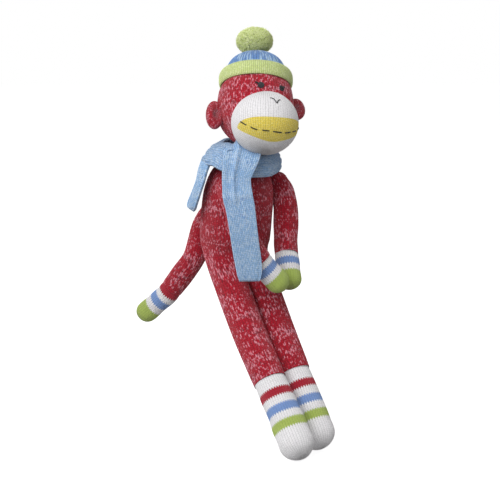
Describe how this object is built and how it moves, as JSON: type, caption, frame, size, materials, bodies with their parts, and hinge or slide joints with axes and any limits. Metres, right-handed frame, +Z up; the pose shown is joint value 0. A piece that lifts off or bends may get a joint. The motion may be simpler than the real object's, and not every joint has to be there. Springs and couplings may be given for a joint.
{
  "type": "stuffed monkey",
  "caption": "Knitted stuffed sock monkey with long arms, legs and tail, a sewn-on muzzle, a rolled hat with a yarn pompom and a scarf round its neck.",
  "frame": {"origin": "on the small flat of the seat, under the rear of the torso, on the left-right middle plane", "axes": "+Z up along the sitting torso, -Y is the way the torso faces, +X is the monkey's left"},
  "size_m": [0.1274, 0.2888, 0.4635],
  "materials": {
    "red_marl_knit": "soft matte wool-blend jersey knit, red with white marl flecks",
    "striped_knit": "soft matte jersey knit, white with coloured rings",
    "muzzle_knit": "fine matte jersey knit, white with a yellow mouth",
    "blue_marl_knit": "soft matte rib knit, pale blue marl",
    "green_knit": "matte fine knit, pale green",
    "green_yarn": "cut fluffy yarn",
    "black_thread": "matte embroidery thread",
    "red_thread": "matte sewing thread",
    "fibre_filling": "loose polyester fibrefill"
  },
  "bodies": {
    "torso": {"torso_skin": "red_marl_knit", "torso_stuffing": "fibre_filling", "scarf_wrap": "blue_marl_knit"},
    "neck": {"neck_skin": "red_marl_knit", "neck_stuffing": "fibre_filling", "neck_gathering_thread": "red_thread"},
    "head": {"head_skin": "red_marl_knit", "head_stuffing": "fibre_filling", "muzzle_patch": "muzzle_knit", "muzzle_stuffing": "fibre_filling", "mouth_stitch_1": "black_thread", "mouth_stitch_2": "black_thread", "mouth_stitch_3": "black_thread", "mouth_stitch_4": "black_thread", "mouth_stitch_5": "black_thread", "mouth_stitch_6": "black_thread", "mouth_stitch_7": "black_thread", "nose_stitch_right": "black_thread", "nose_stitch_left": "black_thread", "right_eye_knot": "black_thread", "left_eye_knot": "black_thread", "right_ear": "red_marl_knit", "right_ear_stuffing": "fibre_filling", "left_ear": "red_marl_knit", "left_ear_stuffing": "fibre_filling", "hat_crown": "blue_marl_knit", "hat_brim": "green_knit", "pompom": "green_yarn"},
    "right_arm": {"right_arm_sleeve": "red_marl_knit", "right_arm_mitten": "striped_knit", "right_arm_stuffing": "fibre_filling"},
    "left_arm": {"left_arm_sleeve": "red_marl_knit", "left_arm_mitten": "striped_knit", "left_arm_stuffing": "fibre_filling"},
    "right_leg": {"right_leg_sleeve": "red_marl_knit", "right_leg_foot_sock": "striped_knit", "right_leg_stuffing": "fibre_filling"},
    "left_leg": {"left_leg_sleeve": "red_marl_knit", "left_leg_foot_sock": "striped_knit", "left_leg_stuffing": "fibre_filling"},
    "tail": {"tail_sleeve": "red_marl_knit", "tail_tip_sock": "striped_knit", "tail_stuffing": "fibre_filling"},
    "scarf_front": {"scarf_front_end": "blue_marl_knit"},
    "scarf_back": {"scarf_back_end": "blue_marl_knit"}
  },
  "joints": [
    {"name": "neck_turn", "type": "hinge", "parent": "torso", "child": "neck", "pos_m": [0, -0.042, 0.132], "axis": [0, 0, 1], "range_deg": [-25, 25]},
    {"name": "head_nod", "type": "hinge", "parent": "neck", "child": "head", "pos_m": [0, -0.042, 0.139], "axis": [1, 0, 0], "range_deg": [-12, 3]},
    {"name": "right_arm_raise", "type": "hinge", "parent": "torso", "child": "right_arm", "pos_m": [-0.04, -0.054, 0.1], "axis": [0.5691, 0.8121, -0.1289], "range_deg": [0, 70]},
    {"name": "left_arm_raise", "type": "hinge", "parent": "torso", "child": "left_arm", "pos_m": [0.0485, -0.034, 0.101], "axis": [0, -1, 0], "range_deg": [0, 70]},
    {"name": "right_hip_swing", "type": "hinge", "parent": "torso", "child": "right_leg", "pos_m": [-0.0198, -0.025, 0], "axis": [-1, 0, 0], "range_deg": [-45, 8]},
    {"name": "left_hip_swing", "type": "hinge", "parent": "torso", "child": "left_leg", "pos_m": [0.0198, -0.025, 0], "axis": [-1, 0, 0], "range_deg": [-45, 8]},
    {"name": "tail_swing", "type": "hinge", "parent": "torso", "child": "tail", "pos_m": [-0.013, 0.035, 0.046], "axis": [0.866, 0.5, 0], "range_deg": [0, 60]},
    {"name": "scarf_front_swing", "type": "hinge", "parent": "torso", "child": "scarf_front", "pos_m": [-0.0365, -0.08, 0.108], "axis": [-0.8189, 0.5739, 0], "range_deg": [0, 60]},
    {"name": "scarf_back_swing", "type": "hinge", "parent": "torso", "child": "scarf_back", "pos_m": [-0.0515, -0.022, 0.122], "axis": [0.3818, 0.9243, 0], "range_deg": [0, 60]}
  ]
}
